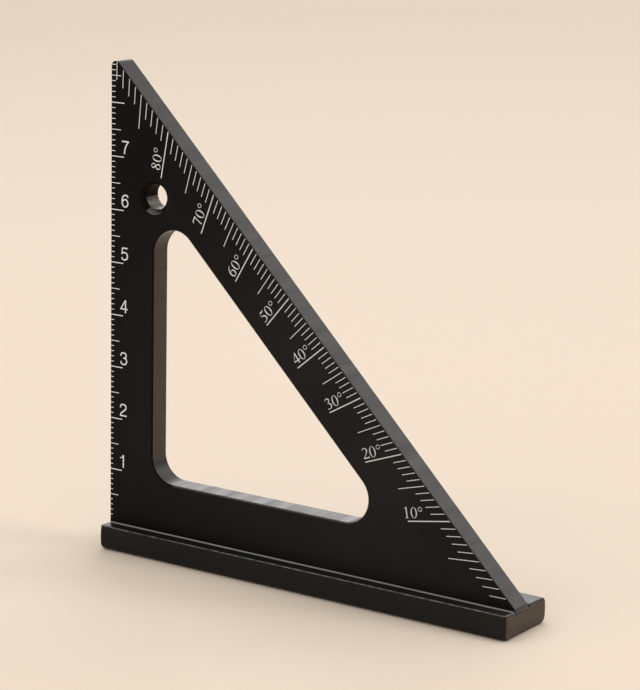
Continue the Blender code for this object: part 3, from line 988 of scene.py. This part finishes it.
class BuildFence(bpy.types.Operator):
    """Build the fence with its slot, relief grooves and countersunk holes"""
    bl_idname = "layout_square.fence"
    bl_label = "Fence"

    def execute(self, context):
        scene = context.scene
        fence, mesh = scene.square_fence, scene.square_mesh
        fasteners, colours = scene.square_fasteners, scene.square_finish
        end = rounded_end(fence.end_break, fence.end_reach, 2 * mesh.break_steps)
        ends = rounded_ends(LENGTH, end, end)
        rings = [(depth, fence_section(fence, inset, mesh)) for depth, inset in ends]
        under = FENCE_LOW.z - CORNER.z

        body = bar([rings], lambda u, v, depth: spot(depth, v, u))
        for step in range(1, mesh.crown_steps):
            level = Vector((0.0, 0.0, CORNER.z + under * step / mesh.crown_steps))
            bmesh.ops.bisect_plane(body, geom=body.verts[:] + body.edges[:] + body.faces[:],
                                   plane_co=level, plane_no=(0.0, 0.0, 1.0))
        for vert in body.verts:
            # Both ends bulge between underside and ledge.
            off_middle = 2 * (vert.co.z - CORNER.z) / under - 1
            inwards = 1 - 2 * (vert.co.x - CORNER.x) / LENGTH
            vert.co.x += fence.end_crown * off_middle ** 2 * inwards
        materials = [side_black(colours), end_black(colours), ledge_black(colours), rubbed_edge(colours),
                     bright_groove(colours)]
        piece = add_piece("fence_bar", body, materials, "fence")
        floor = CORNER.z - fence.slot_depth
        cutters = []
        for node in SCREWS + PINS:
            radius, bottom, _, middle = fastener(node)
            wide = radius + fasteners.fit
            rings = [(FENCE_LOW.z - MM, wide + MM + fasteners.rim_break, circle_reach),
                     (FENCE_LOW.z + fasteners.rim_break, wide, circle_reach)]
            if node in SCREWS:
                narrow = fasteners.shank_radius + fasteners.fit
                rings += [(bottom + fasteners.head_land, wide, circle_reach),
                          (bottom + fasteners.head_height, narrow, circle_reach)]
                wide = narrow
            rings.append((floor + MM, wide, circle_reach))
            cutters.append(turned(rings, TURN_STEPS, middle))
        drilled(piece, cutters)
        grooves = fence.groove_width + fence.groove_lip
        for face in piece.data.polygons:
            at, normal = face.center - CORNER, face.normal
            on_ledge_edge = normal.z > 0.3 and at.y < -grooves
            if abs(normal.x) > FENCE_UPRIGHT:
                face.material_index = FENCE_END
            # Painted highlight in the front groove along the blade's root.
            elif -grooves < at.y < 0.0 and -fence.slot_depth * 0.9 < at.z < -0.01 * MM:
                face.material_index = GROOVE_HIGHLIGHT
            # Painted highlight on the front ledge's right end, where the end's break meets the ledge.
            elif on_ledge_edge and normal.x > 0.1:
                face.material_index = GROOVE_HIGHLIGHT
            # Painted highlight, with rubbed beads, along the front ledge's outer edge.
            elif on_ledge_edge and normal.y < -0.3:
                face.material_index = RUBBED_HIGHLIGHT
            elif normal.z > FENCE_UPRIGHT:
                face.material_index = LEDGE
        smooth(piece)
        return {"FINISHED"}


class BuildFasteners(bpy.types.Operator):
    """Build the countersunk screws and the dowel pins that join the fence to the blade"""
    bl_idname = "layout_square.fasteners"
    bl_label = "Screws and pins"

    def execute(self, context):
        scene = context.scene
        sizes, colours = scene.square_fasteners, scene.square_finish
        oxide, steel = black_oxide(colours), ground_steel(colours)
        for node in SCREWS:
            radius, bottom, top, foot = fastener(node)
            foot.z = bottom
            rings = self.screw_rings(radius, top - bottom, sizes)
            piece = add_piece("socket_screw_" + node[-1], turned(rings, TURN_STEPS, foot), [oxide], node)
            smooth(piece, 28)
        for node in PINS:
            radius, bottom, top, foot = fastener(node)
            foot.z = bottom
            tall, end = top - bottom, sizes.end_break
            rings = [(0.0, radius - end, circle_reach), (end / 3, radius - end / 3, circle_reach),
                     (end, radius, circle_reach), (tall - end, radius, circle_reach),
                     (tall - end / 3, radius - end / 3, circle_reach), (tall, radius - end, circle_reach)]
            piece = add_piece("ground_pin_" + node[-1], turned(rings, TURN_STEPS, foot), [steel], node)
            smooth(piece, 50)
        return {"FINISHED"}

    def screw_rings(self, head, tall, sizes):
        """From the socket's floor out to the head's rim, up its cone and along the thread."""
        across, deep = sizes.socket_across / 2, sizes.socket_depth
        root = sizes.shank_radius - sizes.thread_depth
        rings = [(deep * 1.2, across / 6, circle_reach),
                 (deep, across * 0.95, hexagon_reach),
                 (sizes.end_break / 2, across, hexagon_reach),
                 (0.0, across * 1.08, hexagon_reach),
                 (0.0, head - sizes.end_break / 2, circle_reach),
                 (sizes.end_break / 4, head, circle_reach),
                 (sizes.head_land, head, circle_reach),
                 (sizes.head_height, sizes.shank_radius, circle_reach)]
        height = sizes.head_height + sizes.thread_pitch
        while height + sizes.thread_pitch < tall - sizes.end_break:
            rings += [(height, sizes.shank_radius, circle_reach),
                      (height + sizes.thread_pitch / 2, root, circle_reach)]
            height += sizes.thread_pitch
        rings += [(tall - sizes.end_break, sizes.shank_radius, circle_reach),
                  (tall, root, circle_reach)]
        return rings


class BuildMarks(bpy.types.Operator):
    """Lay the millimetre marks and the degree marks on the blade"""
    bl_idname = "layout_square.marks"
    bl_label = "Scale marks"

    def execute(self, context):
        scene = context.scene
        blade, scales, mesh = scene.square_blade, scene.square_scales, scene.square_mesh
        white = laser_white(scene.square_finish)
        room = HEIGHT - blade.front_break - scales.rule_wide - scales.zero_height
        marks = []
        for number in range(1, int(room / scales.rule_pitch) + 1):
            height = scales.zero_height + number * scales.rule_pitch
            reach = by_tens(number, scales.rule_short, scales.rule_middle, scales.rule_long)
            width = by_tens(number, scales.rule_width, scales.rule_width, scales.rule_wide)
            marks.append(edge_mark(height, reach + scales.rule_lean * height, width, blade, scales, mesh))
        add_piece("rule_marks", merged(marks), [white])
        marks = []
        for number in range(1, 90):
            start, end, _ = degree_ends(number, blade, scales)
            width = by_tens(number, scales.degree_width, scales.degree_width, scales.degree_wide)
            marks.append(mark_slab(start, end, width, scales))
        add_piece("degree_marks", merged(marks), [white])
        return {"FINISHED"}


class BuildNumbers(bpy.types.Operator):
    """Letter the rule's centimetres and the degree scale's tens"""
    bl_idname = "layout_square.numbers"
    bl_label = "Scale numbers"

    def execute(self, context):
        scene = context.scene
        blade, scales, mesh = scene.square_blade, scene.square_scales, scene.square_mesh
        white = laser_white(scene.square_finish)
        slabs = []
        for number in range(1, 8):
            height = scales.zero_height + 10 * number * scales.rule_pitch + scales.number_rise
            start = Vector((scales.number_side + scales.rule_lean * height, height))
            slabs += word_slabs(str(number), SANS, {}, DIGIT_WIDTH["sans"], scales.number_size, start,
                                Vector((1.0, 0.0)), scales, mesh)
        add_piece("rule_numbers", merged(slabs), [white])
        slabs = []
        for number, shift in zip(range(10, 90, 10), LABEL_STARTS):
            inner, _, ray = degree_ends(number, blade, scales)
            start = inner + ray * (shift * MM) + Vector((-ray.y, ray.x)) * scales.label_rise
            slabs += word_slabs(f"{number}°", SERIF, SERIF_WIDTHS, DIGIT_WIDTH["serif"], scales.label_size,
                                start, ray, scales, mesh)
        add_piece("degree_numbers", merged(slabs), [white])
        return {"FINISHED"}


def add_lamp(name, place, target, size, watts, tint):
    lamp = bpy.data.lights.new(name, "AREA")
    lamp.shape = "RECTANGLE"
    lamp.size, lamp.size_y = size
    lamp.energy = watts
    lamp.color = tint
    holder = bpy.data.objects.new(name, lamp)
    holder.location = place
    holder.rotation_mode = "QUATERNION"
    holder.rotation_quaternion = (target - place).to_track_quat("-Z", "Y")
    holder.visible_camera = False
    bpy.context.collection.objects.link(holder)


class BuildStage(bpy.types.Operator):
    """Lay the floor, hang the lamps and set up the camera"""
    bl_idname = "layout_square.stage"
    bl_label = "Stage"

    def execute(self, context):
        settings = context.scene.square_stage
        self.lay_floor(settings)
        self.light(context.scene, settings)
        camera = bpy.data.cameras.new("camera")
        camera.lens = settings.lens
        camera.sensor_width = 36.0
        camera.clip_start, camera.clip_end = 0.01, 50.0
        holder = bpy.data.objects.new("camera", camera)
        bpy.context.collection.objects.link(holder)
        holder.matrix_world = (Matrix.Translation(settings.camera_place)
                               @ Matrix.Rotation(settings.camera_turn, 4, "Z")
                               @ Matrix.Rotation(math.pi / 2 - settings.camera_fall, 4, "X")
                               @ Matrix.Rotation(settings.camera_roll, 4, "Z"))
        context.scene.camera = holder
        context.scene.view_settings.view_transform = "Standard"
        return {"FINISHED"}

    def lay_floor(self, settings):
        reach = 6.0
        maker = bmesh.new()
        bmesh.ops.create_grid(maker, x_segments=2, y_segments=2, size=reach)
        mesh = bpy.data.meshes.new("floor")
        maker.to_mesh(mesh)
        maker.free()
        floor = bpy.data.objects.new("floor", mesh)
        bpy.context.collection.objects.link(floor)
        finish = Finish("pale_floor", settings.floor)
        finish.set(Base_Color=(*settings.floor, 1.0), Roughness=0.8, Specular_IOR_Level=0.2)
        mesh.materials.append(finish.material)

    def light(self, scene, settings):
        world = bpy.data.worlds.new("surround")
        world.use_nodes = True
        background = world.node_tree.nodes["Background"]
        background.inputs["Color"].default_value = (*settings.surround, 1.0)
        background.inputs["Strength"].default_value = settings.surround_strength
        scene.world = world
        middle = Vector((0.0, 0.0, 0.03))
        add_lamp("back_lamp", Vector((1.35, 4.00, 2.45)), middle, (2.4, 2.0), settings.back_power,
                 (1.0, 0.99, 0.97))
        add_lamp("low_lamp", Vector((-2.22, 4.36, 1.75)), middle, (3.2, 1.8), settings.low_power,
                 (1.0, 0.99, 0.97))
        add_lamp("side_lamp", Vector((2.20, 0.60, 1.40)), middle, (1.2, 1.2), settings.side_power,
                 (1.0, 0.99, 0.97))
        add_lamp("top_lamp", Vector((-0.15, 0.10, 0.95)), Vector((-0.15, 0.0, 0.0)), (0.5, 0.5),
                 settings.top_power, (1.0, 0.99, 0.97))
        add_lamp("front_lamp", Vector((-0.66, -0.87, 0.80)), middle, (0.5, 0.87), settings.front_power,
                 (1.0, 1.0, 1.0))


class SquarePanel(bpy.types.Panel):
    """The tool's pieces and sizes"""
    bl_idname = "VIEW3D_PT_layout_square"
    bl_label = "Layout square"
    bl_space_type = "VIEW_3D"
    bl_region_type = "UI"
    bl_category = "Layout square"

    def draw(self, context):
        for operator in OPERATORS:
            self.layout.operator(operator.bl_idname)
        for name, kind in SETTINGS.items():
            box = self.layout.box()
            box.label(text=kind.__doc__)
            for key in kind.__annotations__:
                box.prop(getattr(context.scene, name), key)


SETTINGS = {"square_blade": BladeSettings, "square_fence": FenceSettings,
            "square_fasteners": FastenerSettings, "square_scales": ScaleSettings,
            "square_finish": FinishSettings, "square_stage": StageSettings,
            "square_mesh": MeshSettings}
OPERATORS = (BuildBlade, BuildFence, BuildFasteners, BuildMarks, BuildNumbers, BuildStage)


def register():
    for kind in (*SETTINGS.values(), *OPERATORS, SquarePanel):
        bpy.utils.register_class(kind)
    for name, kind in SETTINGS.items():
        setattr(bpy.types.Scene, name, PointerProperty(type=kind))


def unregister():
    for name in SETTINGS:
        delattr(bpy.types.Scene, name)
    for kind in reversed((*SETTINGS.values(), *OPERATORS, SquarePanel)):
        bpy.utils.unregister_class(kind)


def main():
    register()
    bpy.ops.layout_square.blade()
    bpy.ops.layout_square.fence()
    bpy.ops.layout_square.fasteners()
    bpy.ops.layout_square.marks()
    bpy.ops.layout_square.numbers()
    bpy.ops.layout_square.stage()


if __name__ == "__main__":
    main()
